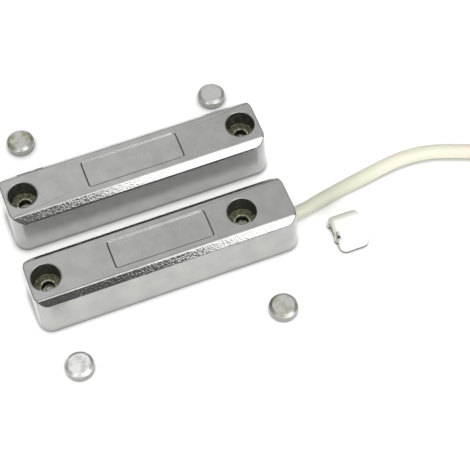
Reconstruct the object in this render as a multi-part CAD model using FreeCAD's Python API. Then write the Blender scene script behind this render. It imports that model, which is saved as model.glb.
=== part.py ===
import FreeCAD, Part

import math
import os

from FreeCAD import Vector

# Wired magnetic door contact for surface mounting, in millimetres.
# A switch unit with its cable, a magnet unit, four caps that close the screw holes and one cable
# clip, laid out as they come from the box. The origin lies midway between the switch unit's two
# screw holes, on the plane it stands on. +X runs along the housings towards the cable, +Y from
# the switch unit to the magnet unit, +Z up.

# The two cast housings share one section
unit_length = 80.0
unit_width = 18.0
unit_height = 16.0
corner_radius = 4.0        # vertical corners, seen from above
edge_chamfer = 1.95        # along both long top edges
end_round = 0.5            # on the top edges at both ends
base_break = 0.4           # chamfer round the foot of the outer wall
end_draft = 0.4            # how far each end leans in from base to top
side_draft = 0.3           # how far each long side leans in from base to top
side_wall = 2.0
roof_wall = 2.6
edge_round = 0.25          # cast edge at the rims of the counterbores
overcut = 1.0              # how far a cutting tool reaches past the face that it cuts
nearly = 0.01              # edges that are chosen by their place may be this far from it

# Screw places
counterbore_diameter = 8.5
counterbore_depth = 5.6
screw_hole_diameter = 3.9
screw_hole_break = 0.3     # chamfer at the top of the screw hole
ledge_thickness = 2.5      # the metal that the screw head clamps
relief_diameter = 7.0      # bore from below that meets the ledge
pillar_wall = 1.1
magnet_hole_from_end = 6.0
switch_hole_from_end = 5.7
cable_side_hole_from_end = 15.1
unit_distance = 29.0       # centre line to centre line, as the two units lie
magnet_shift = 6.1         # centre of the magnet unit past the origin, along X

# Shallow field on the top face
field_length = 29.5
field_width = 9.2
field_depth = 0.3
field_corner = 0.9

# Cable
cable_diameter = 4.4
cable_height = 4.7         # axis of the cable where it leaves the end wall
cable_clearance = 0.1      # all round, in the end wall
cable_inside = 6.4         # sheath left inside the housing, measured from the outer end plane
core_diameter = 1.1
core_offset = 0.75         # each core's axis from the cable's axis, in Y and Z
conductor_diameter = 0.5

# Strain relief: a cable tie drawn tight behind the end wall
tie_thickness = 1.0
tie_width = 2.4
tie_head = 3.4
tie_gap = 0.3              # tie to end wall

# Circuit board that carries the reed switch
board_length = 32.0
board_width = 9.0
board_thickness = 1.0
board_height = 4.0         # underside above the base plane
board_shift = -1.0         # centre of the board along X
reed_diameter = 2.2
reed_length = 14.0
reed_bore = 1.5
reed_seal = 2.2            # solid glass at each end
reed_lift = 0.15           # glass above the board
reed_offset = 2.2          # towards the magnet, from the centre line
blade_width = 0.9
blade_thickness = 0.2
blade_overlap = 1.6
contact_gap = 0.1
lead_diameter = 0.6
lead_reach = 11.0          # from the middle of the reed to the end of each lead
joint_foot = 0.9           # radius of a soldered joint on the board
joint_tip = 0.55
joint_height = 1.5
pad_pitch = 2.2
pad_from_edge = 2.5
conductor_reach = 1.2      # bare wire past the insulation

# Way of the cores past the screw pillar on the cable side
core_lane_clearance = 0.2
core_low = 5.6
core_high = 7.0
core_bend = 1.4
core_straight = 1.0        # straight stretch where a core leaves the sheath
core_lift = 0.1            # insulation above the board
core_past_pillar = (3.6, 6.0)  # how far to each side of the pillar the cores keep to their lane
core_end_straight = 1.5    # straight stretch on the board, before the stripped end

# Magnet
magnet_length = 40.0
magnet_width = 9.0
magnet_height = 6.0
magnet_base = 4.5

# Caps that close the counterbores
cap_diameter = 8.4
cap_height = 3.2
cap_chamfer = 1.0          # width of the slope round the top face
cap_chamfer_drop = 0.7
cap_foot_chamfer = 0.2
cap_pip_diameter = 0.9     # the nib that the parting tool leaves
cap_pip_height = 0.15
cap_places = [(-28.5, -22.7), (32.0, -26.4), (-22.3, 57.6), (39.0, 52.4)]

# White cable clip: a saddle over the cable and a block beside it
clip_length = 9.4
clip_corner = (54.5, -15.8)    # its front left corner
clip_wall = 1.8
clip_channel_clearance = 0.1   # all round the cable
clip_block_width = 3.4
clip_block_height = 5.4
clip_block_round = 2.0
clip_end_round = 1.5
clip_step = 0.4            # the block starts this far along the saddle
clip_hole_diameter = 1.0   # small hole in the corner of that step

# Free cable: the points of its route past the end wall, as far as the coil
route = [
    (48.4, 0.0, 4.7), (54.6, 1.7, 4.4), (63.5, 4.0, 3.5), (73.5, 6.35, 2.45), (83.5, 8.1, 2.2),
    (93.0, 7.3, 2.2), (101.5, 4.1, 2.2), (112.0, -0.7, 2.2), (121.5, -4.9, 2.7), (131.0, -8.6, 4.9),
    (140.4, -12.4, 6.6),
]

# Coil of the length that is put away
coil_centre = (150.6, 12.0)
coil_radius = 26.4         # middle of the turns, twelve cable diameters across
turn_pitch = 4.5
coil_foot_chamfer = 0.6    # on the turns' lower edges
coil_top_chamfer = 0.8     # on their upper edges
coil_tie_angle = 90.0     # where the tie goes round the coil, in degrees
coil_tie_width = 3.0
coil_tie_thickness = 0.8
coil_tie_clearance = 0.1   # to the turns, on the inside, the outside and the top
coil_tie_head = 4.6        # width and height of the tie's head

# Cut end of the cable, past the coil
tail_start = 6.0           # past the middle of the coil, along Y
tail_length = 22.0
tail_core_offset = 0.66    # each core's axis from the cable's axis, in X and Z
tail_core_spread = 2.4     # between neighbouring cores, where they lie on the floor
tail_core_drop = 8.0       # past the sheath, where the cores reach the floor
tail_core_length = 16.0
tail_core_straight = 1.5   # straight stretch where a core leaves the sheath
tinned_length = 5.0

os.makedirs("parts", exist_ok=True)
nodes = {}


def save(name, shape):
    """Keep a finished solid, or a group of like solids, under its node's name."""
    solids = shape.Solids
    nodes[name] = solids[0] if len(solids) == 1 else Part.makeCompound(solids)


def box(x0, x1, y0, y1, z0, z1):
    return Part.makeBox(x1 - x0, y1 - y0, z1 - z0, Vector(x0, y0, z0))


def cylinder(x, y, z0, z1, diameter):
    return Part.makeCylinder(diameter / 2, z1 - z0, Vector(x, y, z0))


def cylinder_x(x0, x1, y, z, diameter):
    return Part.makeCylinder(diameter / 2, x1 - x0, Vector(x0, y, z), Vector(1, 0, 0))


def rounded_outline(cx, cy, length, width, radius, z):
    """A rectangle with arc corners, as a closed wire at height z."""
    x, y, r = length / 2, width / 2, radius
    k = r * (1 - math.sqrt(0.5))
    corners = []
    for sx, sy in ((1, -1), (1, 1), (-1, 1), (-1, -1)):
        ends = [(sx * (x - r), sy * y), (sx * (x - k), sy * (y - k)), (sx * x, sy * (y - r))]
        corners.append(ends if sx * sy < 0 else ends[::-1])
    edges = []
    for i, ends in enumerate(corners):
        a, m, b = [Vector(cx + px, cy + py, z) for px, py in ends]
        following = corners[(i + 1) % 4][0]
        edges.append(Part.Arc(a, m, b).toShape())
        edges.append(Part.LineSegment(b, Vector(cx + following[0], cy + following[1], z)).toShape())
    return Part.Wire(edges)


def drafted_block(cx, cy, inset, z0, z1):
    """The housing's outer form, or one set in from it all round, between two heights.

    Flat walls that lean in with the draft, and one radius along each upright corner.
    """
    rings = []
    for z in (z0, z1):
        x = unit_length / 2 - inset - end_draft * z / unit_height
        y = unit_width / 2 - inset - side_draft * z / unit_height
        rings.append([Vector(cx + sx * x, cy + sy * y, z)
                      for sx, sy in ((-1, -1), (1, -1), (1, 1), (-1, 1))])
    low, high = rings
    outlines = [low[::-1], high]
    for i, j in ((0, 1), (1, 2), (2, 3), (3, 0)):
        outlines.append([low[i], low[j], high[j], high[i]])
    faces = [Part.Face(Part.makePolygon(points + points[:1])) for points in outlines]
    block = Part.Solid(Part.Shell(faces))
    uprights = [edge for edge in block.Edges if edge.BoundBox.ZLength > (z1 - z0) / 2]
    return block.makeFillet(corner_radius - inset, uprights)


def tube(points, diameter, bend=None, report=None):
    """A round bar along straight runs joined by tangent arcs.

    Each arc takes 0.45 of its shorter run, unless a fixed bend radius is given.
    """
    points = [Vector(*p) for p in points]
    edges, length, radii = [], 0.0, []
    start = points[0]
    for a, b, c in zip(points, points[1:], points[2:]):
        u, v = (a - b).normalize(), (c - b).normalize()
        half_turn = (math.pi - u.getAngle(v)) / 2
        if bend:
            radius = bend
            reach = radius * math.tan(half_turn)
        else:
            reach = 0.45 * min((a - b).Length, (c - b).Length)
            radius = reach / math.tan(half_turn)
        radii.append(radius)
        first, last = b + u * reach, b + v * reach
        bisector = (u + v).normalize()
        middle = b + bisector * (radius / math.cos(half_turn) - radius)
        edges.append(Part.LineSegment(start, first).toShape())
        arc = Part.Arc(first, middle, last).toShape()
        edges.append(arc)
        length += edges[-2].Length + arc.Length
        start = last
    edges.append(Part.LineSegment(start, points[-1]).toShape())
    length += edges[-1].Length
    path = Part.Wire(edges)
    heading = (points[1] - points[0]).normalize()
    ring = Part.Wire([Part.Circle(points[0], heading, diameter / 2).toShape()])
    shape = path.makePipeShell([ring], True, False, 2)
    if report:
        print(report, "length %.1f" % length, "radii", [round(r, 1) for r in radii],
              "volume ratio %.4f" % (shape.Volume / (math.pi * diameter ** 2 / 4 * length)))
    return shape


# Where things are along each unit
hole_spacing = unit_length - switch_hole_from_end - cable_side_hole_from_end
switch_left = -hole_spacing / 2 - switch_hole_from_end
switch_right = switch_left + unit_length
switch_centre = (switch_left + switch_right) / 2
switch_holes = [-hole_spacing / 2, hole_spacing / 2]
magnet_holes = [magnet_shift - unit_length / 2 + magnet_hole_from_end,
                magnet_shift + unit_length / 2 - magnet_hole_from_end]
pillar_diameter = counterbore_diameter + 2 * pillar_wall
ledge_top = unit_height - counterbore_depth
ledge_bottom = ledge_top - ledge_thickness
cavity_top = unit_height - roof_wall


def housing(cx, cy, holes):
    """A cast housing: an open box with two screw pillars, from its block and its core."""
    shape = drafted_block(cx, cy, 0, 0, unit_height)
    top = [edge for edge in shape.Edges if edge.BoundBox.ZMin > unit_height - nearly]
    shape = shape.makeFillet(end_round, top)
    foot = [edge for edge in shape.Edges if edge.BoundBox.ZMax < nearly]
    shape = shape.makeChamfer(base_break, foot)
    shape = shape.cut(drafted_block(cx, cy, side_wall, 0, cavity_top))
    for x in holes:
        pillar = cylinder(x, cy, 0, cavity_top + roof_wall / 2, pillar_diameter)
        shape = shape.fuse(pillar.common(drafted_block(cx, cy, side_wall / 2, 0, unit_height)))
    for side in (-1, 1):
        edge = cy + side * (unit_width / 2 - side_draft)
        reach = edge_chamfer + side_draft
        triangle = [Vector(cx, edge - side * edge_chamfer, unit_height),
                    Vector(cx, edge + side * reach, unit_height - edge_chamfer - reach),
                    Vector(cx, edge + side * reach, unit_height + reach),
                    Vector(cx, edge - side * edge_chamfer, unit_height + reach)]
        wedge = Part.Face(Part.makePolygon(triangle + triangle[:1])).extrude(Vector(unit_length, 0, 0))
        wedge.translate(Vector(-unit_length / 2, 0, 0))
        shape = shape.cut(wedge)
    for x in holes:
        shape = shape.cut(cylinder(x, cy, ledge_top, unit_height + overcut, counterbore_diameter))
        shape = shape.cut(cylinder(x, cy, ledge_bottom - overcut, ledge_top + overcut,
                                   screw_hole_diameter))
        shape = shape.cut(cylinder(x, cy, -overcut, ledge_bottom, relief_diameter))
        break_radius = screw_hole_diameter / 2 + screw_hole_break
        shape = shape.cut(Part.makeCone(screw_hole_diameter / 2, break_radius, screw_hole_break,
                                        Vector(x, cy, ledge_top - screw_hole_break)))
        rim_radius = counterbore_diameter / 2
        shape = shape.cut(Part.makeCone(rim_radius, rim_radius + edge_round, edge_round,
                                        Vector(x, cy, unit_height - edge_round)))
    field = Part.Face(rounded_outline(cx, cy, field_length, field_width, field_corner,
                                      unit_height - field_depth))
    shape = shape.cut(field.extrude(Vector(0, 0, field_depth + overcut)))
    return shape.removeSplitter()


def filling(cx, cy, holes):
    """The space inside a housing and round its pillars, filled level with the base plane."""
    shape = drafted_block(cx, cy, side_wall, 0, cavity_top)
    for x in holes:
        shape = shape.cut(cylinder(x, cy, -overcut, cavity_top + overcut, pillar_diameter))
    return shape


# Magnet unit: housing, bar magnet, resin
save("magnet_housing", housing(magnet_shift, unit_distance, magnet_holes))
bar_magnet = box(magnet_shift - magnet_length / 2, magnet_shift + magnet_length / 2,
                 unit_distance - magnet_width / 2, unit_distance + magnet_width / 2,
                 magnet_base, magnet_base + magnet_height)
save("bar_magnet", bar_magnet)
save("magnet_resin", filling(magnet_shift, unit_distance, magnet_holes).cut(bar_magnet))

# Switch unit: housing with the cable's way through the end wall
cable_hole = cylinder_x(switch_right - side_wall - end_draft - overcut, switch_right + overcut,
                        0, cable_height, cable_diameter + 2 * cable_clearance)
save("switch_housing", housing(switch_centre, 0, switch_holes).cut(cable_hole))

# The sheath's end inside the housing, and the tie that stops it being pulled out
sheath_end = switch_right - cable_inside
sheath = cylinder_x(sheath_end, switch_right, 0, cable_height, cable_diameter)
save("cable_sheath_inside", sheath)
tie_x1 = switch_right - side_wall - end_draft * cable_height / unit_height - tie_gap
tie_x0 = tie_x1 - tie_width
tie_outer = cable_diameter + 2 * tie_thickness
tie = cylinder_x(tie_x0, tie_x1, 0, cable_height, tie_outer)
tie = tie.fuse(box(tie_x0, tie_x1, -tie_head / 2, tie_head / 2, cable_height,
                   cable_height + cable_diameter / 2 + tie_head))
tie = tie.cut(sheath).removeSplitter()
save("strain_relief_tie", tie)

# Circuit board with the reed switch laid along it, on the side nearer the magnet
board_left = board_shift - board_length / 2
board_right = board_shift + board_length / 2
board_top = board_height + board_thickness
board = box(board_left, board_right, -board_width / 2, board_width / 2, board_height, board_top)
save("circuit_board", board)

reed_z = board_top + reed_lift + reed_diameter / 2


def capsule(length, diameter):
    """A round bar along X with rounded ends, centred on the reed's middle."""
    x, r = length / 2, diameter / 2
    straight, k = x - r, r * math.sqrt(0.5)
    half = Part.Wire([
        Part.Arc(Vector(-x, 0, 0), Vector(-straight - k, k, 0), Vector(-straight, r, 0)).toShape(),
        Part.LineSegment(Vector(-straight, r, 0), Vector(straight, r, 0)).toShape(),
        Part.Arc(Vector(straight, r, 0), Vector(straight + k, k, 0), Vector(x, 0, 0)).toShape(),
        Part.LineSegment(Vector(x, 0, 0), Vector(-x, 0, 0)).toShape()])
    bar = Part.Face(half).revolve(Vector(0, 0, 0), Vector(1, 0, 0), 360)
    bar.translate(Vector(board_shift, reed_offset, reed_z))
    return bar


def blade(side):
    """One reed: a round lead outside the glass, flattened to a blade inside it."""
    inner = board_shift - side * blade_overlap / 2
    shoulder = board_shift + side * (reed_length / 2 - reed_seal)
    outer = board_shift + side * lead_reach
    low = reed_z + (contact_gap / 2 if side > 0 else -contact_gap / 2 - blade_thickness)
    flat = box(min(inner, shoulder), max(inner, shoulder), reed_offset - blade_width / 2,
               reed_offset + blade_width / 2, low, low + blade_thickness)
    lead = cylinder_x(min(shoulder, outer), max(shoulder, outer), reed_offset, reed_z, lead_diameter)
    return flat.fuse(lead).removeSplitter()


blades = {"reed_blade_left": blade(-1), "reed_blade_right": blade(1)}
glass = capsule(reed_length, reed_diameter).cut(capsule(reed_length - 2 * reed_seal, reed_bore))
for name, shape in blades.items():
    save(name, shape)
    glass = glass.cut(shape)
save("reed_glass", glass)

# Cores from the sheath to the board, two on each side of the screw pillar
pillar_x = switch_holes[1]
lane = (pillar_diameter + core_diameter) / 2 + core_lane_clearance
pad_x = board_right - pad_from_edge
core_z = board_top + core_lift + core_diameter / 2
inner_cores = {}
joint_places = [(board_shift - lead_reach, reed_offset, reed_z),
                (board_shift + lead_reach, reed_offset, reed_z)]
for name, side, upper in (("white", -1, False), ("brown", -1, True), ("green", 1, True),
                          ("yellow", 1, False)):
    pad_y = side * pad_pitch * (0.5 if upper else 1.5)
    z0 = cable_height + (core_offset if upper else -core_offset)
    z1 = core_high if upper else core_low
    lane_end = pillar_x - core_past_pillar[1]
    stripped = pad_x + conductor_reach
    points = [(sheath_end, side * core_offset, z0),
              (sheath_end - core_straight, side * core_offset, z0),
              (pillar_x + core_past_pillar[0], side * lane, z1), (lane_end, side * lane, z1),
              (stripped + core_end_straight, pad_y, core_z), (stripped, pad_y, core_z)]
    wire = cylinder_x(pad_x - joint_tip, pad_x + conductor_reach, pad_y, core_z, conductor_diameter)
    inner_cores[name] = tube(points, core_diameter, core_bend).fuse(wire).removeSplitter()
    save("core_%s_inside" % name, inner_cores[name])
    joint_places.append((pad_x, pad_y, core_z))

# Soldered joints: a small cone of solder round each lead or wire
joints = []
for x, y, z in joint_places:
    cone = Part.makeCone(joint_foot, joint_tip, joint_height, Vector(x, y, board_top))
    for held in list(blades.values()) + list(inner_cores.values()):
        cone = cone.cut(held)
    joints.append(cone)
save("solder_joints", Part.makeCompound(joints))

# Resin of the switch unit, cast round all of these
resin = filling(switch_centre, 0, switch_holes)
leads = cylinder_x(board_shift - lead_reach, board_shift + lead_reach, reed_offset, reed_z,
                   lead_diameter)
reed = capsule(reed_length, reed_diameter).fuse(leads).removeSplitter()
for held in [sheath, tie, board, reed] + list(inner_cores.values()) + joints:
    resin = resin.cut(held)
save("switch_resin", resin)


def cap(x, y):
    """A turned plug: chamfered at the top, with the pip of the turning at its centre."""
    r, h, c = cap_diameter / 2, cap_height, cap_chamfer
    profile = [(0, 0), (r - cap_foot_chamfer, 0), (r, cap_foot_chamfer), (r, h - cap_chamfer_drop),
               (r - c, h), (cap_pip_diameter / 2, h), (0, h + cap_pip_height), (0, 0)]
    face = Part.Face(Part.makePolygon([Vector(px, 0, pz) for px, pz in profile]))
    shape = face.revolve(Vector(0, 0, 0), Vector(0, 0, 1), 360)
    shape.translate(Vector(x, y, 0))
    return shape


for number, (x, y) in enumerate(cap_places, 1):
    save("hole_cap_%d" % number, cap(x, y))


def cable_clip():
    """A saddle over the cable's channel with a rounded block along its front."""
    x0, y0 = clip_corner
    x1 = x0 + clip_length
    channel = cable_diameter / 2 + clip_channel_clearance
    outer = channel + clip_wall
    y_axis = y0 + clip_block_width + outer
    z_axis = channel
    top = z_axis + outer
    arch = Part.Face(Part.Wire([
        Part.LineSegment(Vector(x0, y_axis - outer, 0), Vector(x0, y_axis - outer, z_axis)).toShape(),
        Part.Arc(Vector(x0, y_axis - outer, z_axis), Vector(x0, y_axis, top),
                 Vector(x0, y_axis + outer, z_axis)).toShape(),
        Part.LineSegment(Vector(x0, y_axis + outer, z_axis), Vector(x0, y_axis + outer, 0)).toShape(),
        Part.LineSegment(Vector(x0, y_axis + outer, 0), Vector(x0, y_axis - outer, 0)).toShape()]))
    saddle = arch.extrude(Vector(clip_length, 0, 0))
    rims = [e for e in saddle.Edges
            if e.Vertexes and e.BoundBox.XLength < nearly and e.BoundBox.ZMax > z_axis + nearly]
    saddle = saddle.makeFillet(min(clip_end_round, outer / 2), rims)
    block = box(x0 + clip_step, x1, y0, y_axis, 0, clip_block_height)
    uprights = [e for e in block.Edges if e.BoundBox.ZLength > nearly and e.BoundBox.YMax < y0 + nearly]
    block = block.makeFillet(clip_block_round, uprights)
    rim = [e for e in block.Edges
           if e.BoundBox.ZMin > clip_block_height - nearly and e.BoundBox.YMax < y_axis - nearly]
    block = block.makeFillet(clip_block_round / 2, rim)
    shape = saddle.fuse(block)
    ends = x0 - overcut, x1 + overcut
    shape = shape.cut(cylinder_x(*ends, y_axis, z_axis, 2 * channel))
    shape = shape.cut(box(*ends, y_axis - channel, y_axis + channel, -overcut, z_axis))
    shape = shape.cut(cylinder(x0 + clip_step, y0 + clip_block_width, -overcut, top + overcut,
                               clip_hole_diameter))
    return shape.removeSplitter()


save("cable_clip", cable_clip())

# The coil: three turns wide on the floor, two turns wide on top of them
cable_radius = cable_diameter / 2
inner = coil_radius - turn_pitch - cable_radius
outer = coil_radius + turn_pitch + cable_radius
shoulder = coil_radius + cable_radius
upper = 2 * cable_radius + turn_pitch
foot, crown = coil_foot_chamfer, coil_top_chamfer
section = [(inner, foot), (inner + foot, 0), (outer - foot, 0), (outer, foot),
           (outer, turn_pitch - crown), (shoulder, upper - crown), (shoulder - crown, upper),
           (inner + crown, upper), (inner, upper - crown), (inner, foot)]
coil_face = Part.Face(Part.makePolygon([Vector(px, 0, pz) for px, pz in section]))
coil = coil_face.revolve(Vector(0, 0, 0), Vector(0, 0, 1), 360)
coil.translate(Vector(coil_centre[0], coil_centre[1], 0))
save("cable_coil", coil)

# Free cable, from the end wall to the coil, where it lies on the outer turn
route = [(switch_right, 0, cable_height)] + route
save("cable_run", tube(route, cable_diameter, report="cable run").cut(coil))


def turned(shape, angle):
    """Turn a shape that was made along +X at the origin to its place on the coil."""
    placed = shape.copy()
    placed.rotate(Vector(0, 0, 0), Vector(0, 0, 1), angle)
    placed.translate(Vector(coil_centre[0], coil_centre[1], 0))
    return placed


# Tie round the coil's turns
half = coil_tie_width / 2
gap = coil_tie_clearance
reach = coil_tie_clearance + coil_tie_thickness
band = box(inner - reach, outer + reach, -half, half, 0, upper + reach)
turns = box(inner - gap, outer + gap, -half - overcut, half + overcut, -overcut, upper + gap)
head = box(outer + gap, outer + gap + coil_tie_head, -coil_tie_head / 2, coil_tie_head / 2,
           0, coil_tie_head)
head_edges = [edge for edge in head.Edges if edge.BoundBox.XMin > outer + gap + coil_tie_head / 2]
head = head.makeFillet(coil_tie_thickness / 2, head_edges)
save("coil_tie", turned(band.cut(turns).fuse(head).removeSplitter(), coil_tie_angle))

# The cut end beside the coil: a short tail of sheath and four cores with tinned ends
tail_x = coil_centre[0] + coil_radius + turn_pitch
tail_y = coil_centre[1] + tail_start
tail_end = tail_y + tail_length
tail = Part.makeCylinder(cable_radius, tail_length, Vector(tail_x, tail_y, cable_radius),
                         Vector(0, 1, 0))
save("cable_tail", tail.cut(coil))
tips = []
for index, name in enumerate(("white", "brown", "green", "yellow")):
    side = 1 if index > 1 else -1
    level = 1 if index in (1, 2) else -1
    x0 = tail_x + side * tail_core_offset
    z0 = cable_radius + level * tail_core_offset
    x1 = tail_x + (index - 1.5) * tail_core_spread
    z1 = core_diameter / 2
    y1 = tail_end + tail_core_drop
    y2 = tail_end + tail_core_length
    points = [(x0, tail_end, z0), (x0, tail_end + tail_core_straight, z0), (x1, y1, z1), (x1, y2, z1)]
    save("core_%s_tail" % name, tube(points, core_diameter, core_bend))
    tips.append(Part.makeCylinder(conductor_diameter / 2, tinned_length, Vector(x1, y2, z1),
                                  Vector(0, 1, 0)))
save("tinned_ends", Part.makeCompound(tips))

for name, shape in nodes.items():
    if not shape.isValid():
        print("not valid:", name)
    shape.exportStep("parts/%s.step" % name)
print(len(nodes), "nodes,", sum(len(s.Solids) for s in nodes.values()), "solids")
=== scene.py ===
import math

import bmesh
import bpy
import numpy as np
from mathutils import Matrix, Vector


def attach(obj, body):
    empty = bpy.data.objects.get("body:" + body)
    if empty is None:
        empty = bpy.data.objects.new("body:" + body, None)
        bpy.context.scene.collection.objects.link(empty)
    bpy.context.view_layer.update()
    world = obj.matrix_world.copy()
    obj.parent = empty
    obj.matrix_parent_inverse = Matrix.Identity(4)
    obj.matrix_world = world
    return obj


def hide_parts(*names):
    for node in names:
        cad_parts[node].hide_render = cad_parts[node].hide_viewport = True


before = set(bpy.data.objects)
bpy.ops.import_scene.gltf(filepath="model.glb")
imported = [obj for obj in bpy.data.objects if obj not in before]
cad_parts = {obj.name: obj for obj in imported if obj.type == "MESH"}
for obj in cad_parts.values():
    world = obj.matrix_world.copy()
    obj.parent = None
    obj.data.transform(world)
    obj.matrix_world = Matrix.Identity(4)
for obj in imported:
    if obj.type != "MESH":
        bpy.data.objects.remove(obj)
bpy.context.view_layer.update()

# Camera
# A short telephoto view from the front left, 58 degrees down, fitted to the corners and screw holes of both
# housings. Its axes are the view's right, down and forward directions in the part's frame.
CAMERA_PLACE = (-0.0424767, -0.2114952, 0.3693124)
VIEW_RIGHT = (0.93447, -0.35499, -0.02740)
VIEW_DOWN = (-0.31661, -0.79330, -0.52003)
VIEW_FORWARD = (0.16287, 0.49462, -0.85371)
SENSOR_WIDTH = 36.0
PHOTO_WIDTH = 470
FOCAL_PIXELS = 1449.42
CLIP_NEAR = 0.01
CLIP_FAR = 20.0

camera_data = bpy.data.cameras.new("camera")
camera_data.sensor_width = SENSOR_WIDTH
camera_data.lens = FOCAL_PIXELS / PHOTO_WIDTH * SENSOR_WIDTH
camera_data.clip_start = CLIP_NEAR
camera_data.clip_end = CLIP_FAR
camera = bpy.data.objects.new("camera", camera_data)
bpy.context.scene.collection.objects.link(camera)
right, down, forward = (Vector(v).normalized() for v in (VIEW_RIGHT, VIEW_DOWN, VIEW_FORWARD))
camera.matrix_world = Matrix.Translation(CAMERA_PLACE) @ Matrix((right, -down, -forward)).transposed().to_4x4()
bpy.context.scene.camera = camera
bpy.context.scene.view_settings.view_transform = "Standard"

# Floor and studio light
# The set lies on a sweep of white card under a white canopy that is brightest where the tops mirror it, in a room
# that is darker near the horizon and in front. A large panel at the front right puts the white band on each front
# chamfer, and smaller lights reach the front faces, the gap between the units, the holes and the rounded edges.
CARD_WHITE = "#FAFAF9"
CARD_SIDE = 12.0
CONTACT_SHADE_GREY = "#CCCCCA"
CONTACT_REACH = 0.0016
CONTACT_OPEN = (0.5, 0.98)            # open shares of the sky at which the card is grey and white
MIRRORED_BY_TOPS = (0.16, 0.50, 0.85)
CANOPY_LEVEL = 0.60
CANOPY_BRIGHTEST = (0.86, 1.09)       # at its right and at its left
CANOPY_SPREAD = (0.82, 0.95)          # cosines to the mirrored direction
BRIGHTER_LEFT = (-0.35, 0.70, 0.62)
LEFT_SPREAD = (0.81, 0.885)           # cosines to the brighter left
ROOM_LEVEL = 0.16
HORIZON = (0.74, 0.34)                # heights of a direction, from light to dark
HORIZON_SHARE = 0.6
FRONT_DARK = (-0.35, -0.75)           # Y of a direction, from light to dark
FRONT_TOP = (0.75, 0.45)              # its heights, from light to dark, going down
FRONT_FOOT = (0.27, 0.40)             # and going up


def linear(colour):
    """An sRGB hex colour as linear RGBA, by the sRGB curve."""
    parts = [int(colour[i:i + 2], 16) / 255 for i in (1, 3, 5)]
    return tuple(c / 12.92 if c <= 0.04045 else ((c + 0.055) / 1.055) ** 2.4 for c in parts) + (1.0,)


def add(tree, kind, links=(), **settings):
    """Add a node to a tree with its settings, and link its inputs.

    links holds (input, source node, output) triples. A setting that the node has as a property sets that, and
    any other sets the input of that name, with spaces for underscores.
    """
    node = tree.nodes.new(kind)
    for name, value in settings.items():
        if hasattr(node, name):
            setattr(node, name, value)
        else:
            node.inputs[name.replace("_", " ")].default_value = value
    for socket, source, output in links:
        tree.links.new(source.outputs[output], node.inputs[socket])
    return node


def new_material(name, **settings):
    """A material, its node tree and its surface shader, whose plain inputs are set by name."""
    material = bpy.data.materials.new(name)
    material.use_nodes = True
    tree = material.node_tree
    tree.nodes.clear()
    shader = add(tree, "ShaderNodeBsdfPrincipled", **settings)
    add(tree, "ShaderNodeOutputMaterial", [("Surface", shader, "BSDF")])
    return material, tree, shader


def dress(piece, material):
    """Give a piece this material alone."""
    piece.data.materials.clear()
    piece.data.materials.append(material)


def link(name, data):
    """A new object at the origin that holds this mesh, curve or light."""
    piece = bpy.data.objects.new(name, data)
    bpy.context.scene.collection.objects.link(piece)
    return piece


def light_panel(name, centre, along, across, radiance):
    """A rectangular light whose sides are the vectors along and across, shining along their cross product.

    Its power is radiance times area times pi, as an even panel's is.
    """
    along, across = Vector(along), Vector(across)
    data = bpy.data.lights.new(name, "AREA")
    data.shape = "RECTANGLE"
    data.size, data.size_y = across.length, along.length
    data.energy = radiance * math.pi * across.length * along.length
    panel = link(name, data)
    x, y = across.normalized(), along.normalized()
    panel.matrix_world = Matrix.Translation(centre) @ Matrix((x, y, x.cross(y))).transposed().to_4x4()
    return panel


half = CARD_SIDE / 2
floor_mesh = bpy.data.meshes.new("floor")
floor_mesh.from_pydata([(-half, -half, 0), (half, -half, 0), (half, half, 0), (-half, half, 0)], [], [(0, 1, 2, 3)])
floor = link("floor", floor_mesh)

# Matt card: nearly white, with a thin soft grey line of painted contact shade where it meets a piece
card, tree, shader = new_material("card_white", Roughness=0.9)
nearness = add(tree, "ShaderNodeAmbientOcclusion", Distance=CONTACT_REACH)
openness = add(tree, "ShaderNodeMapRange", [("Value", nearness, "AO")],
               From_Min=CONTACT_OPEN[0], From_Max=CONTACT_OPEN[1])
shade = add(tree, "ShaderNodeMix", [("Factor", openness, "Result")], data_type="RGBA",
            A=linear(CONTACT_SHADE_GREY), B=linear(CARD_WHITE))
tree.links.new(shade.outputs["Result"], shader.inputs["Base Color"])
dress(floor, card)

# The canopy brightens by a smooth step of the cosine to the mirrored direction. The dark share is the larger of
# two: one that grows towards the horizon, and an opening in front that is a band between two heights.
world = bpy.data.worlds.new("canopy_and_room")
bpy.context.scene.world = world
world.use_nodes = True
tree = world.node_tree
tree.nodes.clear()
direction = add(tree, "ShaderNodeTexCoord")
axes = add(tree, "ShaderNodeSeparateXYZ", [("Vector", direction, "Generated")])
frontal = add(tree, "ShaderNodeMapRange", [("Value", axes, "Y")], interpolation_type="SMOOTHSTEP",
              From_Min=FRONT_DARK[0], From_Max=FRONT_DARK[1])
low = add(tree, "ShaderNodeMapRange", [("Value", axes, "Z")], interpolation_type="SMOOTHSTEP",
          From_Min=FRONT_TOP[0], From_Max=FRONT_TOP[1])
above = add(tree, "ShaderNodeMapRange", [("Value", axes, "Z")], interpolation_type="SMOOTHSTEP",
            From_Min=FRONT_FOOT[0], From_Max=FRONT_FOOT[1])
band = add(tree, "ShaderNodeMath", [(0, above, "Result"), (1, low, "Result")], operation="MULTIPLY")
opening = add(tree, "ShaderNodeMath", [(0, frontal, "Result"), (1, band, "Value")], operation="MULTIPLY")
horizon = add(tree, "ShaderNodeMapRange", [("Value", axes, "Z")], interpolation_type="SMOOTHSTEP",
              From_Min=HORIZON[0], From_Max=HORIZON[1], To_Max=HORIZON_SHARE)
dark = add(tree, "ShaderNodeMath", [(0, opening, "Value"), (1, horizon, "Result")], operation="MAXIMUM")
cosine = add(tree, "ShaderNodeVectorMath", [(0, direction, "Generated")], operation="DOT_PRODUCT")
cosine.inputs[1].default_value = MIRRORED_BY_TOPS
side = add(tree, "ShaderNodeVectorMath", [(0, direction, "Generated")], operation="DOT_PRODUCT")
side.inputs[1].default_value = BRIGHTER_LEFT
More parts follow.
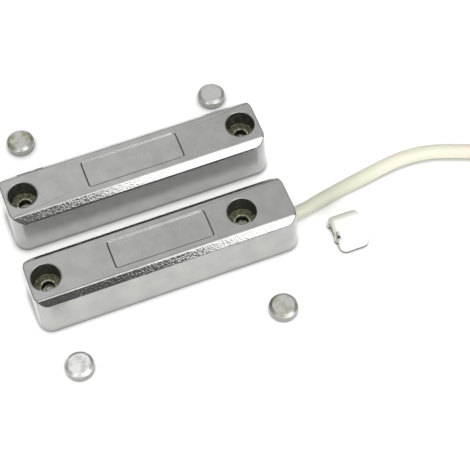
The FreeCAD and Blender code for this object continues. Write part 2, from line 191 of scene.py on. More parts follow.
brightest = add(tree, "ShaderNodeMapRange", [("Value", side, "Value")], interpolation_type="SMOOTHSTEP",
                From_Min=LEFT_SPREAD[0], From_Max=LEFT_SPREAD[1],
                To_Min=CANOPY_BRIGHTEST[0], To_Max=CANOPY_BRIGHTEST[1])
canopy = add(tree, "ShaderNodeMapRange", [("Value", cosine, "Value"), ("To Max", brightest, "Result")],
             interpolation_type="SMOOTHSTEP", From_Min=CANOPY_SPREAD[0], From_Max=CANOPY_SPREAD[1],
             To_Min=CANOPY_LEVEL)
level = add(tree, "ShaderNodeMapRange", [("Value", dark, "Value"), ("To Min", canopy, "Result")],
            To_Max=ROOM_LEVEL)
background = add(tree, "ShaderNodeBackground", [("Strength", level, "Result")], Color=(1.0, 1.0, 1.0, 1.0))
add(tree, "ShaderNodeOutputWorld", [("Surface", background, "Background")])

# The front panel stands half a metre in front. Its left side runs up to the left through the two points in
# which the chamfers of the two units mirror the places where their white bands begin. A weak strip beside it makes
# that start softer, and the lens lamp sits just above the lens, from where it reaches down the holes.
PANEL_DEPTH = -0.5
PANEL_WIDTH = 0.60
PANEL_HEIGHT = 0.60
STRIP_WIDTH = 0.012
BAND_STARTS = (Vector((0.1070, PANEL_DEPTH, 0.296)), Vector((0.0610, PANEL_DEPTH, 0.356)))
LAMP_SIDE = 0.06
LAMP_ABOVE_LENS = 0.045
up_side = (BAND_STARTS[1] - BAND_STARTS[0]).normalized()
across = up_side.cross(Vector((0, -1, 0)))
panel_centre = (BAND_STARTS[0] + BAND_STARTS[1]) / 2 + across * PANEL_WIDTH / 2
strip_centre = panel_centre - across * (PANEL_WIDTH + STRIP_WIDTH) / 2
lamp_place = Vector(CAMERA_PLACE) - down * LAMP_ABOVE_LENS

# Name, centre, the two sides, radiance, and whether it shows in mirroring surfaces and lights matt ones. The
# overhead light reaches the card between the units, the fill the front faces, and the left card what faces left,
# and the edge strip gives the rounded edges their glint.
LIGHTS = [
    ("front_panel", panel_centre, up_side * PANEL_HEIGHT, across * PANEL_WIDTH, 2.95, True, False),
    ("front_panel_rim", strip_centre, up_side * PANEL_HEIGHT, across * STRIP_WIDTH, 0.5, True, True),
    ("overhead", (0.02, 0.02, 0.9), (0.0, 0.20, 0.0), (0.20, 0.0, 0.0), 9.5, False, True),
    ("front_fill", (0.12, -0.75, 0.50), (0.0, 0.22, 0.33), (0.40, 0.0, 0.0), 7.5, False, True),
    ("left_card", (-0.486, -0.33, 0.675), (0.10, 0.08, 0.13), (0.12, -0.15, 0.0), 5.0, True, True),
    ("lens_lamp", lamp_place, -down * LAMP_SIDE, right * LAMP_SIDE, 75.0, False, True),
    ("edge_strip", (0.12, -0.15, 0.9), (0.0, 0.70, 0.0), (0.50, 0.0, 0.0), 1.25, True, False),
]
for *light, mirrored, on_matt in LIGHTS:
    panel = light_panel(*light)
    panel.visible_glossy = mirrored
    panel.visible_diffuse = on_matt

# Free cable
# A four-core alarm cable with an extruded sheath of soft off-white PVC, held by a tie inside the switch unit. It
# leaves the unit's end wall, comes down to the floor in a loose S, and lies in a tied coil outside the view.
CABLE_DIAMETER = 0.0044
CABLE_EXIT = (0.0447, 0.0, 0.0047)
ROUTE = [
    (0.0484, 0.0, 0.0047), (0.0546, 0.0017, 0.0044), (0.0635, 0.0040, 0.0035), (0.0735, 0.00635, 0.00245),
    (0.0835, 0.0081, 0.0022), (0.0930, 0.0073, 0.0022), (0.1015, 0.0041, 0.0022), (0.1120, -0.0007, 0.0022),
    (0.1215, -0.0049, 0.0027), (0.1310, -0.0086, 0.0049),
]
COIL_CENTRE = (0.1506, 0.0120)
COIL_RADIUS = 0.0264
TURN_PITCH = 0.0045
POINTS_PER_TURN = 16
CORD_STEPS = 8                        # mesh steps of a quarter round, and between two control points
UPPER_LAYER = 0.0066
LOWER_LAYER = 0.0022
COIL_ENTRY_ANGLE = math.radians(247.4)
TAIL_STRAIGHT_Y = 0.0180
TAIL_END_Y = 0.0400
PVC_OFF_WHITE = ("#CCCEBB", "#D7CBBF")
TINT_PATCH = 0.009
TINT_CHANGE = (0.44, 0.66)            # noise values between which the tint changes
RIPPLES = 900.0                       # per metre, 1.1 mm apart, drawn coarser than the die's so that they show
RIPPLE_DEPTH = 0.00004
# The darker stretch near the unit is the painted shadow of the housing and the clip, and the darker underside is
# painted shade
SHADOWED_STRETCH = (0.058, 0.075)           # x up to which the sheath is darkest, and at which that ends
SHADOWED_STRETCH_SHADE = 0.78
UNDERSIDE = (0.0010, 0.0004)          # heights between which it darkens towards the floor
UNDERSIDE_SHADE = 0.6

# Steps of the winding: turns from the start, radius and height. It goes round on top first, then below
COIL_STEPS = [
    (0.0, COIL_RADIUS, UPPER_LAYER), (0.75, COIL_RADIUS, UPPER_LAYER),
    (1.05, COIL_RADIUS - TURN_PITCH, UPPER_LAYER), (1.75, COIL_RADIUS - TURN_PITCH, UPPER_LAYER),
    (2.05, COIL_RADIUS - TURN_PITCH, LOWER_LAYER), (2.75, COIL_RADIUS - TURN_PITCH, LOWER_LAYER),
    (3.05, COIL_RADIUS, LOWER_LAYER), (3.75, COIL_RADIUS, LOWER_LAYER),
    (4.05, COIL_RADIUS + TURN_PITCH, LOWER_LAYER), (5.3128, COIL_RADIUS + TURN_PITCH, LOWER_LAYER),
]


def coil_points():
    """Control points of the coil: radius and height run between the steps along the winding angle.

    A point stands out from its turn by 1 / cos(half the angle between two points), so that the spline keeps
    the turn's radius.
    """
    turns, radii, heights = np.array(COIL_STEPS).T
    t = np.linspace(turns[0], turns[-1], int(turns[-1] * POINTS_PER_TURN) + 1)
    angle = COIL_ENTRY_ANGLE + 2 * np.pi * t
    radius = np.interp(t, turns, radii) / math.cos(math.pi / POINTS_PER_TURN)
    x = COIL_CENTRE[0] + radius * np.cos(angle)
    y = COIL_CENTRE[1] + radius * np.sin(angle)
    return np.stack([x, y, np.interp(t, turns, heights)], axis=1)


def round_cord(name, points, diameter):
    """A round cord along one NURBS spline with these control points."""
    data = bpy.data.curves.new(name, "CURVE")
    data.dimensions = "3D"
    data.bevel_depth = 1.0
    data.bevel_resolution = CORD_STEPS
    data.resolution_u = CORD_STEPS
    data.use_fill_caps = True
    spline = data.splines.new("NURBS")
    spline.points.add(len(points) - 1)
    spline.points.foreach_set("co", np.column_stack([points, np.ones(len(points))]).ravel())
    spline.points.foreach_set("radius", np.full(len(points), diameter / 2))
    spline.order_u = 3
    spline.use_endpoint_u = True
    return link(name, data)


tail_x = COIL_CENTRE[0] + COIL_RADIUS + TURN_PITCH
tail = [(tail_x, TAIL_STRAIGHT_Y, LOWER_LAYER), (tail_x, TAIL_END_Y, LOWER_LAYER)]
cable = round_cord("cable", np.concatenate([[CABLE_EXIT], ROUTE, coil_points(), tail]), CABLE_DIAMETER)
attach(cable, "root")
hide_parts("cable_run", "cable_coil", "cable_tail")

# Soft PVC: a satin skin that lets a little light in, with greenish and pinkish patches, the ripple of the die that
# it was extruded through, and painted shade that darkens its underside and the stretch near the unit
pvc, tree, shader = new_material("soft_pvc_sheath", Roughness=0.42, IOR=1.52, Subsurface_Weight=0.12,
                                 Subsurface_Radius=(0.002, 0.002, 0.0015), Subsurface_Scale=0.4)
place = add(tree, "ShaderNodeTexCoord")
drift = add(tree, "ShaderNodeTexNoise", [("Vector", place, "Object")], Scale=1 / TINT_PATCH, Detail=2.0)
patch_and_shade = add(tree, "ShaderNodeMapRange", [("Value", drift, "Fac")],
              From_Min=TINT_CHANGE[0], From_Max=TINT_CHANGE[1])
tint = add(tree, "ShaderNodeMix", [("Factor", patch_and_shade, "Result")], data_type="RGBA",
           A=linear(PVC_OFF_WHITE[0]), B=linear(PVC_OFF_WHITE[1]))
ripple = add(tree, "ShaderNodeTexNoise", [("Vector", place, "Object")], Scale=RIPPLES, Detail=3.0)
bump = add(tree, "ShaderNodeBump", [("Height", ripple, "Fac")], Strength=0.5, Distance=RIPPLE_DEPTH)
axes = add(tree, "ShaderNodeSeparateXYZ", [("Vector", place, "Object")])
# Painted shade: the sheath darkens near the unit and towards the floor
shadowed_stretch = add(tree, "ShaderNodeMapRange", [("Value", axes, "X")], From_Min=SHADOWED_STRETCH[0], From_Max=SHADOWED_STRETCH[1],
             To_Min=SHADOWED_STRETCH_SHADE)
under = add(tree, "ShaderNodeMapRange", [("Value", axes, "Z")], From_Min=UNDERSIDE[0], From_Max=UNDERSIDE[1],
            To_Min=1.0, To_Max=UNDERSIDE_SHADE)
both = add(tree, "ShaderNodeMath", [(0, shadowed_stretch, "Result"), (1, under, "Result")], operation="MULTIPLY")
painted_shade = add(tree, "ShaderNodeHueSaturation", [("Color", tint, "Result"), ("Value", both, "Value")])
tree.links.new(painted_shade.outputs["Color"], shader.inputs["Base Color"])
tree.links.new(bump.outputs["Normal"], shader.inputs["Normal"])
dress(cable, pvc)

# Cut end of the cable
# The sheath is stripped for the installer, and its four insulated cores fan out on the floor, each with a few
# millimetres of tinned strands. A nylon tie holds the coil's turns.
INSULATION = {"white": "#EDECE6", "brown": "#5A3A28", "green": "#2E7D46", "yellow": "#E2C437"}
SHADE_PATCHES = 600.0                 # per metre, 1.7 mm each
TINNED_GREYS = ("#B9B5AC", "#CFCCC6")
STRAND_WAVES = 900.0                  # gives a wave each 0.7 mm, coarser than the real strands of 0.1 mm
STRAND_DEPTH = 0.00003
NATURAL_NYLON = ("#E3E2DA", "#EEEDE8")
NYLON_CLOUDS = 300.0                  # per metre, 3.3 mm each
TIE_EDGE = 0.0001
SAME_POINT = 1e-6
FLAT_BELOW = math.radians(0.5)
SMOOTH_BELOW = math.radians(32)
EDGE_STEPS = 3
FLAT_FACE_WEIGHT = 100


def merged_copy(name, node, bevel=0.0, halved_at=None):
    """A new piece from a CAD node's mesh: its loose triangles joined, flat faces made whole, curves smooth.

    With a bevel width, its sharp edges are rounded by that much. A face with holes in it is cut through them
    along y = halved_at, so that each half is a plain outline.
    """
    mesh = bpy.data.meshes.new(name)
    solid = bmesh.new()
    solid.from_mesh(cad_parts[node].data)
    bmesh.ops.remove_doubles(solid, verts=solid.verts, dist=SAME_POINT)
    if halved_at is not None:
        cut = bmesh.ops.bisect_plane(solid, geom=solid.verts[:] + solid.edges[:] + solid.faces[:],
                                     plane_co=(0, halved_at, 0), plane_no=(0, 1, 0), dist=1e-7)
        for part in cut["geom_cut"]:
            if isinstance(part, bmesh.types.BMEdge):
                part.seam = True
    bmesh.ops.dissolve_limit(solid, angle_limit=FLAT_BELOW, verts=solid.verts, edges=solid.edges,
                             delimit={"SEAM"})
    solid.to_mesh(mesh)
    solid.free()
    mesh.shade_smooth()
    mesh.set_sharp_from_angle(angle=SMOOTH_BELOW)
    piece = link(name, mesh)
    if bevel:
        rounding = piece.modifiers.new("edge_round", "BEVEL")
        rounding.width = bevel
        rounding.segments = EDGE_STEPS
        rounding.limit_method = "ANGLE"
        rounding.angle_limit = SMOOTH_BELOW
        rounding.use_clamp_overlap = False
        flatten = piece.modifiers.new("flat_faces_flat", "WEIGHTED_NORMAL")
        flatten.mode = "FACE_AREA"
        flatten.weight = FLAT_FACE_WEIGHT
        flatten.keep_sharp = True
    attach(piece, "root")
    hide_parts(node)
    return piece


# PVC insulation: plain strong colours with a semi-gloss skin and a slight change of shade
for colour, hex_colour in INSULATION.items():
    core = merged_copy("core_%s_end" % colour, "core_%s_tail" % colour)
    insulation, tree, shader = new_material("pvc_core_" + colour, Roughness=0.38, IOR=1.52)
    place = add(tree, "ShaderNodeTexCoord")
    drift = add(tree, "ShaderNodeTexNoise", [("Vector", place, "Object")], Scale=SHADE_PATCHES, Detail=2.0)
    tint = add(tree, "ShaderNodeHueSaturation", Color=linear(hex_colour))
    value = add(tree, "ShaderNodeMapRange", [("Value", drift, "Fac")], To_Min=0.92, To_Max=1.08)
    tree.links.new(value.outputs["Result"], tint.inputs["Value"])
    tree.links.new(tint.outputs["Color"], shader.inputs["Base Color"])
    dress(core, insulation)
    dress(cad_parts["core_%s_inside" % colour], insulation)

# Tinned copper: twisted strands that look like one bright, faintly ribbed wire
strands = merged_copy("tinned_strands", "tinned_ends")
tinned, tree, shader = new_material("tinned_copper", Metallic=1.0, Roughness=0.3)
place = add(tree, "ShaderNodeTexCoord")
twist = add(tree, "ShaderNodeTexWave", [("Vector", place, "Object")], Scale=STRAND_WAVES,
            bands_direction="DIAGONAL")
tint = add(tree, "ShaderNodeMix", [("Factor", twist, "Fac")], data_type="RGBA",
           A=linear(TINNED_GREYS[0]), B=linear(TINNED_GREYS[1]))
tree.links.new(tint.outputs["Result"], shader.inputs["Base Color"])
bump = add(tree, "ShaderNodeBump", [("Height", twist, "Fac")], Strength=0.6, Distance=STRAND_DEPTH)
tree.links.new(bump.outputs["Normal"], shader.inputs["Normal"])
dress(strands, tinned)

# Natural nylon, moulded: milky and smooth, with a faint cloudiness
tie = merged_copy("coil_tie_band", "coil_tie", TIE_EDGE)
nylon, tree, shader = new_material("natural_nylon", Roughness=0.35, IOR=1.53, Subsurface_Weight=0.2,
                                   Subsurface_Radius=(0.002, 0.002, 0.002), Subsurface_Scale=0.5)
place = add(tree, "ShaderNodeTexCoord")
haze = add(tree, "ShaderNodeTexNoise", [("Vector", place, "Object")], Scale=NYLON_CLOUDS, Detail=3.0)
tint = add(tree, "ShaderNodeMix", [("Factor", haze, "Fac")], data_type="RGBA",
           A=linear(NATURAL_NYLON[0]), B=linear(NATURAL_NYLON[1]))
tree.links.new(tint.outputs["Result"], shader.inputs["Base Color"])
dress(tie, nylon)
dress(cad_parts["strain_relief_tie"], nylon)

# Cast housings
# Each unit is a pressure die casting in light alloy, tumbled and blasted, and fixed by two screws deep in its
# counterbores. It is a satin grey metal with a shallow grain, a few pinholes and edges that catch the light.
CAST_GREY = ("#A4A4A3", "#ADADAB")
MOTTLE = 0.005
MOTTLE_CHANGE = (0.35, 0.65)          # noise values between which the grey changes
MOTTLE_DEPTH = 0.000022
GRAIN = 0.00055                       # drawn coarser than the real 0.1 mm grit, so that it shows
GRAIN_CHANGE = (0.40, 0.72)
GRAIN_DEPTH = 0.000009
SHEEN = (0.03, 0.08)
# The casting's foot is painted darker towards the floor, as painted contact shade
LOWER_RIM_SHADE_GREY = "#848483"
LOWER_RIM = (0.0012, 0.0007)          # heights between which a casting darkens towards the floor
PINHOLE_SHADE_GREY = "#4A4A48"
PINHOLE_SPACING = 0.007
PINHOLE_RADIUS = 0.0003
PINHOLE_SHARE = 0.25
PINHOLE_DEPTH = 0.00006
PINHOLE_FLAT = 0.3                    # share of its radius that is at full depth
EDGE_ROUND = 0.0003
UNIT_DISTANCE = 0.029

# The skin inside a hole by the height that each starts at: the relief bored from below, the screw hole's wall, its
# brighter mouth, the ledge, and the counterbore's wall. The relief's near white is painted light, the two dark
# walls are painted shade and the brighter mouth is a painted highlight; the ledge's olive is the skin's own.
BORE_SKIN_LIGHT_AND_SHADE = [(0.0, "#F4F3E6"), (0.0079, "#1F2016"), (0.0100, "#9C9C88"), (0.01035, "#53543F"),
             (0.01055, "#32332C")]
BORE_METALLIC = 0.15
BORE_ROUGHNESS = 0.45
STAIN = 0.0008
STAIN_SHADES = (0.25, 1.8)
HOLE_PLACES = [(-0.0296, 0.0), (0.0296, 0.0), (-0.0279, 0.029), (0.0401, 0.029)]
HOLE_RADIUS = 0.00434
RIM_HEIGHT = 0.0159


def inside_holes(tree, place):
    """1 inside the counterbores, 0 elsewhere: nearer than a radius to one of their axes and below the rim."""
    flat = add(tree, "ShaderNodeVectorMath", [(0, place, "Object")], operation="MULTIPLY")
    flat.inputs[1].default_value = (1.0, 1.0, 0.0)
    share = None
    for x, y in HOLE_PLACES:
        distance = add(tree, "ShaderNodeVectorMath", [(0, flat, "Vector")], operation="DISTANCE")
        distance.inputs[1].default_value = (x, y, 0.0)
        near = add(tree, "ShaderNodeMath", [(0, distance, "Value")], operation="LESS_THAN")
        near.inputs[1].default_value = HOLE_RADIUS
        if share:
            near = add(tree, "ShaderNodeMath", [(0, share, "Value"), (1, near, "Value")], operation="MAXIMUM")
        share = near
    height = add(tree, "ShaderNodeSeparateXYZ", [("Vector", place, "Object")])
    below = add(tree, "ShaderNodeMath", [(0, height, "Z")], operation="LESS_THAN")
    below.inputs[1].default_value = RIM_HEIGHT
    return add(tree, "ShaderNodeMath", [(0, share, "Value"), (1, below, "Value")], operation="MULTIPLY")


# Blasted casting: satin and nearly mirror-smooth between its grains, so that it takes the grey of what it faces
cast, tree, shader = new_material("alloy_casting_blasted")
place = add(tree, "ShaderNodeTexCoord")
mottle = add(tree, "ShaderNodeTexNoise", [("Vector", place, "Object")], Scale=1 / MOTTLE, Detail=4.0)
grain = add(tree, "ShaderNodeTexNoise", [("Vector", place, "Object")], Scale=1 / GRAIN, Detail=2.0,
            Roughness=0.6)
patch = add(tree, "ShaderNodeMapRange", [("Value", mottle, "Fac")],
            From_Min=MOTTLE_CHANGE[0], From_Max=MOTTLE_CHANGE[1])
grey = add(tree, "ShaderNodeMix", [("Factor", patch, "Result")], data_type="RGBA",
           A=linear(CAST_GREY[0]), B=linear(CAST_GREY[1]))

# Pinholes: the cell centres of a coarse Voronoi pattern, in the share of its cells with the highest random value
cells = add(tree, "ShaderNodeTexVoronoi", [("Vector", place, "Object")], Scale=1 / PINHOLE_SPACING)
chance = add(tree, "ShaderNodeSeparateColor", [("Color", cells, "Color")])
chosen = add(tree, "ShaderNodeMath", [(0, chance, "Red")], operation="GREATER_THAN")
chosen.inputs[1].default_value = 1 - PINHOLE_SHARE
middle = add(tree, "ShaderNodeMapRange", [("Value", cells, "Distance")], interpolation_type="SMOOTHSTEP",
             From_Min=PINHOLE_RADIUS / PINHOLE_SPACING,
             From_Max=PINHOLE_FLAT * PINHOLE_RADIUS / PINHOLE_SPACING)
pinhole = add(tree, "ShaderNodeMath", [(0, chosen, "Value"), (1, middle, "Result")], operation="MULTIPLY")
height = add(tree, "ShaderNodeSeparateXYZ", [("Vector", place, "Object")])
# Painted contact shade: the grey darkens towards the floor
rim = add(tree, "ShaderNodeMapRange", [("Value", height, "Z")], From_Min=LOWER_RIM[0], From_Max=LOWER_RIM[1])
ground = add(tree, "ShaderNodeMix", [("Factor", rim, "Result"), ("A", grey, "Result")], data_type="RGBA",
             B=linear(LOWER_RIM_SHADE_GREY))
# The pinholes are painted dark grey, as painted shade in the pits
pitted = add(tree, "ShaderNodeMix", [("Factor", pinhole, "Value"), ("A", ground, "Result")], data_type="RGBA",
             B=linear(PINHOLE_SHADE_GREY))

# Down a hole the skin is dull, olive and stained, and changes with the height: painted light on the relief,
# painted shade on the walls and a painted highlight at the screw hole's mouth
holes = inside_holes(tree, place)
depth = add(tree, "ShaderNodeMath", [(0, height, "Z")], operation="DIVIDE")
depth.inputs[1].default_value = RIM_HEIGHT
bands = add(tree, "ShaderNodeValToRGB", [("Fac", depth, "Value")])
bands.color_ramp.interpolation = "CONSTANT"
bands.color_ramp.elements.remove(bands.color_ramp.elements[1])
bands.color_ramp.elements[0].color = linear(BORE_SKIN_LIGHT_AND_SHADE[0][1])
for start, colour in BORE_SKIN_LIGHT_AND_SHADE[1:]:
    bands.color_ramp.elements.new(start / RIM_HEIGHT).color = linear(colour)
stain = add(tree, "ShaderNodeTexNoise", [("Vector", place, "Object")], Scale=1 / STAIN, Detail=3.0)
shade = add(tree, "ShaderNodeMapRange", [("Value", stain, "Fac")], From_Min=0.35, From_Max=0.65,
            To_Min=STAIN_SHADES[0], To_Max=STAIN_SHADES[1])
stained = add(tree, "ShaderNodeHueSaturation", [("Color", bands, "Color"), ("Value", shade, "Result")])
skin = add(tree, "ShaderNodeMix", [("Factor", holes, "Value"), ("A", pitted, "Result"), ("B", stained, "Color")],
           data_type="RGBA")
bare = add(tree, "ShaderNodeMix", [("Factor", holes, "Value")], A=1.0, B=BORE_METALLIC)
sheen = add(tree, "ShaderNodeMapRange", [("Value", mottle, "Fac")], From_Min=0.3, From_Max=0.7,
            To_Min=SHEEN[0], To_Max=SHEEN[1])
dull = add(tree, "ShaderNodeMix", [("Factor", holes, "Value"), ("A", sheen, "Result")], B=BORE_ROUGHNESS)
wave = add(tree, "ShaderNodeBump", [("Height", mottle, "Fac")], Strength=0.6, Distance=MOTTLE_DEPTH)
pits = add(tree, "ShaderNodeMapRange", [("Value", grain, "Fac")], interpolation_type="SMOOTHSTEP",
           From_Min=GRAIN_CHANGE[0], From_Max=GRAIN_CHANGE[1])
grit = add(tree, "ShaderNodeBump", [("Height", pits, "Result"), ("Normal", wave, "Normal")], Strength=1.0,
           Distance=GRAIN_DEPTH, invert=True)
bump = add(tree, "ShaderNodeBump", [("Height", pinhole, "Value"), ("Normal", grit, "Normal")], Strength=1.0,
           Distance=PINHOLE_DEPTH, invert=True)
tree.links.new(skin.outputs["Result"], shader.inputs["Base Color"])
tree.links.new(bare.outputs["Result"], shader.inputs["Metallic"])
tree.links.new(dull.outputs["Result"], shader.inputs["Roughness"])
tree.links.new(bump.outputs["Normal"], shader.inputs["Normal"])
for unit, centre_line in (("magnet", UNIT_DISTANCE), ("switch", 0.0)):
    casting = merged_copy(unit + "_casting", unit + "_housing", EDGE_ROUND, centre_line)
    dress(casting, cast)

# Caps
# The plugs that are pressed into the counterbores after fitting, turned from alloy bar: a flat face with fine tool
# rings and the pip that the parting tool leaves, a slope round it and a plain side. Here they lie loose.
CAP_PLACES = [(-0.0285, -0.0227), (0.0320, -0.0264), (-0.0223, 0.0576), (0.0390, 0.0524)]
# Each cap's pair of greys is set to how brightly that cap is lit, the first brightest: painted light and shade on
# copies of one turned metal
CAP_LIT_GREYS = [("#E2E2E0", "#FAFAF8"), ("#BDBDBB", "#CBCBC9"), ("#BABAB7", "#CACAC7"), ("#C3C3C2", "#CCCCCB")]
CAP_CLOUDS = 420.0                    # per metre, 2.4 mm each
CAP_SHEEN = (0.28, 0.44)
OIL_TINTS = ["#D2D2D0", "#B2B3A2", "#A3A288", "#C1C1C0"]
OIL_PATCH = 0.0024
OIL_CHANGE = (0.48, 0.62)             # noise values between which the oil's stain begins
RING_CONTRASTS = [0.14, 0.08, 0.08, 0.06]
RING_DEPTH = 0.00001
TOOL_FEED = 0.0007                    # drawn coarser than the real feed of 0.1 mm, so that it shows
RING_FACTOR = 0.314                   # ring spacing times scale, as the wave node has it: 2 pi / 20
WALL_SHADE_GREY = "#A0A09D"
WALL_TOP = 0.0025
CAP_EDGE = 0.0001

# Turned metal: a satin face that glitters in rings, stained by old cutting oil, on a side painted darker as painted
# shade
for number, ((x, y), greys, oil, contrast) in enumerate(zip(CAP_PLACES, CAP_LIT_GREYS, OIL_TINTS, RING_CONTRASTS), 1):
    cap = merged_copy("turned_cap_%d" % number, "hole_cap_%d" % number, CAP_EDGE)
    turned, tree, shader = new_material("turned_cap_%d" % number, Metallic=1.0)
    place = add(tree, "ShaderNodeTexCoord")
    centred = add(tree, "ShaderNodeMapping", [("Vector", place, "Object")], Location=(-x, -y, 0.0))
    rings = add(tree, "ShaderNodeTexWave", [("Vector", centred, "Vector")], wave_type="RINGS",
                rings_direction="Z", Scale=RING_FACTOR / TOOL_FEED, Distortion=0.6, Detail=1.0)
    stain = add(tree, "ShaderNodeTexNoise", [("Vector", place, "Object")], Scale=CAP_CLOUDS, Detail=3.0)
    clean = add(tree, "ShaderNodeMix", [("Factor", stain, "Fac")], data_type="RGBA",
                A=linear(greys[0]), B=linear(greys[1]))
    spread = add(tree, "ShaderNodeTexNoise", [("Vector", place, "Object")], Scale=1 / OIL_PATCH, Detail=4.0)
    oiled = add(tree, "ShaderNodeMapRange", [("Value", spread, "Fac")],
                From_Min=OIL_CHANGE[0], From_Max=OIL_CHANGE[1])
    face = add(tree, "ShaderNodeMix", [("Factor", oiled, "Result"), ("A", clean, "Result")], data_type="RGBA",
               B=linear(oil))
    ridges = add(tree, "ShaderNodeMapRange", [("Value", rings, "Fac")],
                 To_Min=1 - contrast, To_Max=1 + contrast / 2)
    ringed = add(tree, "ShaderNodeHueSaturation", [("Color", face, "Result"), ("Value", ridges, "Result")])
    height = add(tree, "ShaderNodeSeparateXYZ", [("Vector", place, "Object")])
    upper = add(tree, "ShaderNodeMapRange", [("Value", height, "Z")],
                From_Min=WALL_TOP - CAP_EDGE, From_Max=WALL_TOP)
    grey = add(tree, "ShaderNodeMix", [("Factor", upper, "Result"), ("B", ringed, "Color")], data_type="RGBA",
               A=linear(WALL_SHADE_GREY))
    sheen = add(tree, "ShaderNodeMapRange", [("Value", stain, "Fac")], From_Min=0.3, From_Max=0.7,
                To_Min=CAP_SHEEN[0], To_Max=CAP_SHEEN[1])
    bump = add(tree, "ShaderNodeBump", [("Height", rings, "Fac")], Strength=0.6, Distance=RING_DEPTH)
    tree.links.new(grey.outputs["Result"], shader.inputs["Base Color"])
    tree.links.new(sheen.outputs["Result"], shader.inputs["Roughness"])
    tree.links.new(bump.outputs["Normal"], shader.inputs["Normal"])
    dress(cap, turned)

# Cable clip
# A small white nylon moulding, lying loose: a saddle that holds the cable down and a rounded block beside it with
# a hole. The saddle's left end and back are painted darker as painted shade, and the foot's edge and the hole's
# mouth are painted dark as painted shade.
NYLON_WHITE = ("#E9E9E4", "#F1F1EF")
WHITE_CLOUDS = 250.0                  # per metre, 4 mm each
SKIN_TEXTURE = 3000.0                 # per metre, the mould's 0.3 mm texture
SKIN_DEPTH = 0.00001
CLIP_EDGE = 0.0003
# Painted shade: the saddle's left end and back, which turn from the light, are painted towards this grey
SADDLE_SHADE_GREY = "#C6C7BA"
SHADED_LEFT_END = (0.0564, 0.0548)
SHADED_BACK = (-0.0098, -0.0055)
SADDLE_FRONT = (-0.0126, -0.0118)
FOOT_SHADE_GREY = "#6A6A66"
FOOT = (0.0013, 0.0009)
CLIP_HOLE = (0.0549, -0.0124, 0.0)
CLIP_HOLE_RADII = (0.00062, 0.00052)
HOLE_SHADE_DARK = "#24241E"
HOLE_DARK_ABOVE = 0.0036

# Moulded nylon: white and satin, a little light goes in, with a fine skin texture
clip = merged_copy("clip_moulding", "cable_clip", CLIP_EDGE)
white, tree, shader = new_material("white_nylon_moulded", Roughness=0.33, IOR=1.53, Subsurface_Weight=0.15,
                                   Subsurface_Radius=(0.002, 0.002, 0.002), Subsurface_Scale=0.5)
place = add(tree, "ShaderNodeTexCoord")
haze = add(tree, "ShaderNodeTexNoise", [("Vector", place, "Object")], Scale=WHITE_CLOUDS, Detail=2.0)
tint = add(tree, "ShaderNodeMix", [("Factor", haze, "Fac")], data_type="RGBA",
           A=linear(NYLON_WHITE[0]), B=linear(NYLON_WHITE[1]))
axes = add(tree, "ShaderNodeSeparateXYZ", [("Vector", place, "Object")])
# Painted shade on the saddle's left end and back
end = add(tree, "ShaderNodeMapRange", [("Value", axes, "X")], interpolation_type="SMOOTHSTEP",
          From_Min=SHADED_LEFT_END[0], From_Max=SHADED_LEFT_END[1])
back = add(tree, "ShaderNodeMapRange", [("Value", axes, "Y")], interpolation_type="SMOOTHSTEP",
           From_Min=SHADED_BACK[0], From_Max=SHADED_BACK[1])
saddle = add(tree, "ShaderNodeMapRange", [("Value", axes, "Y")], From_Min=SADDLE_FRONT[0],
             From_Max=SADDLE_FRONT[1])
saddle_end = add(tree, "ShaderNodeMath", [(0, end, "Result"), (1, saddle, "Result")], operation="MULTIPLY")
patch_and_shade = add(tree, "ShaderNodeMath", [(0, saddle_end, "Value"), (1, back, "Result")], operation="MAXIMUM")
saddle_shaded = add(tree, "ShaderNodeMix", [("Factor", patch_and_shade, "Value"), ("A", tint, "Result")], data_type="RGBA",
            B=linear(SADDLE_SHADE_GREY))
# The foot's edge is painted dark: painted contact shade
foot = add(tree, "ShaderNodeMapRange", [("Value", axes, "Z")], From_Min=FOOT[0], From_Max=FOOT[1])
footed = add(tree, "ShaderNodeMix", [("Factor", foot, "Result"), ("A", saddle_shaded, "Result")], data_type="RGBA",
             B=linear(FOOT_SHADE_GREY))
# The hole's mouth above a height is painted near black: painted shade in the hole
flat = add(tree, "ShaderNodeVectorMath", [(0, place, "Object")], operation="MULTIPLY")
flat.inputs[1].default_value = (1.0, 1.0, 0.0)
off_axis = add(tree, "ShaderNodeVectorMath", [(0, flat, "Vector")], operation="DISTANCE")
off_axis.inputs[1].default_value = CLIP_HOLE
inside = add(tree, "ShaderNodeMapRange", [("Value", off_axis, "Value")],
             From_Min=CLIP_HOLE_RADII[0], From_Max=CLIP_HOLE_RADII[1])
upper = add(tree, "ShaderNodeMath", [(0, axes, "Z")], operation="GREATER_THAN")
upper.inputs[1].default_value = HOLE_DARK_ABOVE
mouth = add(tree, "ShaderNodeMath", [(0, inside, "Result"), (1, upper, "Value")], operation="MULTIPLY")
shaded = add(tree, "ShaderNodeMix", [("Factor", mouth, "Value"), ("A", footed, "Result")], data_type="RGBA",
             B=linear(HOLE_SHADE_DARK))
texture = add(tree, "ShaderNodeTexNoise", [("Vector", place, "Object")], Scale=SKIN_TEXTURE, Detail=2.0)
bump = add(tree, "ShaderNodeBump", [("Height", texture, "Fac")], Strength=0.4, Distance=SKIN_DEPTH)
tree.links.new(shaded.outputs["Result"], shader.inputs["Base Color"])
tree.links.new(bump.outputs["Normal"], shader.inputs["Normal"])
dress(clip, white)

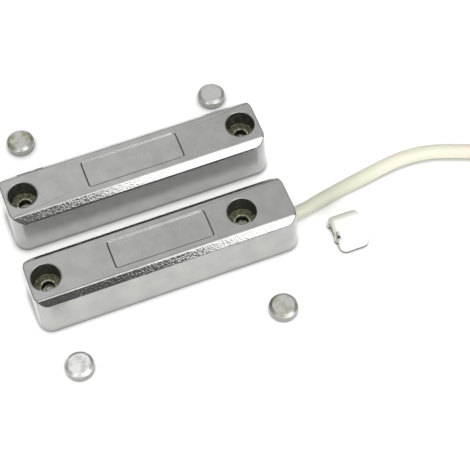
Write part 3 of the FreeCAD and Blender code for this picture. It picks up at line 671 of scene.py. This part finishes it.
# Resin
# Black epoxy that is poured in from below and struck off level with the rim, so that it holds and seals all that
# is inside. It looks glossy, with a slow wave from its shrinking as it set.
RESIN_BLACK = ("#121214", "#1E1E20")
SWIRL = 0.00625
SWIRL_DEPTH = 0.0002
resin, tree, shader = new_material("potting_epoxy_black", Roughness=0.22, IOR=1.55)
place = add(tree, "ShaderNodeTexCoord")
swirl = add(tree, "ShaderNodeTexNoise", [("Vector", place, "Object")], Scale=1 / SWIRL, Detail=3.0)
tint = add(tree, "ShaderNodeMix", [("Factor", swirl, "Fac")], data_type="RGBA",
           A=linear(RESIN_BLACK[0]), B=linear(RESIN_BLACK[1]))
bump = add(tree, "ShaderNodeBump", [("Height", swirl, "Fac")], Strength=0.5, Distance=SWIRL_DEPTH)
tree.links.new(tint.outputs["Result"], shader.inputs["Base Color"])
tree.links.new(bump.outputs["Normal"], shader.inputs["Normal"])
for node in ("magnet_resin", "switch_resin"):
    dress(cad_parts[node], resin)

# Sealed pieces
# What the resin hides: the sheath's end, the glass-epoxy board with its tin-soldered joints, the reed switch of
# plated blades in a glass tube, and the sintered bar magnet. Each has its metal's or laminate's plain look.
dress(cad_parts["cable_sheath_inside"], pvc)

# Material, dark and pale tint, metallic, roughness, and speckles per metre (1.1 to 3.3 mm each)
SEALED = {
    "bar_magnet": ("sintered_magnet", "#3A3A3C", "#48484A", 1.0, 0.5, 900.0),
    "circuit_board": ("glass_epoxy_board", "#1C4A2C", "#235835", 0.0, 0.4, 700.0),
    "reed_glass": ("reed_tube_glass", "#9DB8A0", "#A9C4AC", 0.0, 0.08, 300.0),
    "reed_blade_left": ("plated_reed_left", "#ABA9A2", "#B9B7B1", 1.0, 0.3, 900.0),
    "reed_blade_right": ("plated_reed_right", "#ABA9A2", "#B9B7B1", 1.0, 0.3, 900.0),
    "solder_joints": ("tin_solder", "#B2B2B4", "#C4C4C6", 1.0, 0.25, 500.0),
}
for node, (name, dark, pale, metallic, roughness, scale) in SEALED.items():
    sealed, tree, shader = new_material(name, Metallic=metallic, Roughness=roughness)
    place = add(tree, "ShaderNodeTexCoord")
    speckle = add(tree, "ShaderNodeTexNoise", [("Vector", place, "Object")], Scale=scale, Detail=3.0)
    tint = add(tree, "ShaderNodeMix", [("Factor", speckle, "Fac")], data_type="RGBA",
               A=linear(dark), B=linear(pale))
    tree.links.new(tint.outputs["Result"], shader.inputs["Base Color"])
    dress(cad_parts[node], sealed)

bpy.context.view_layer.update()
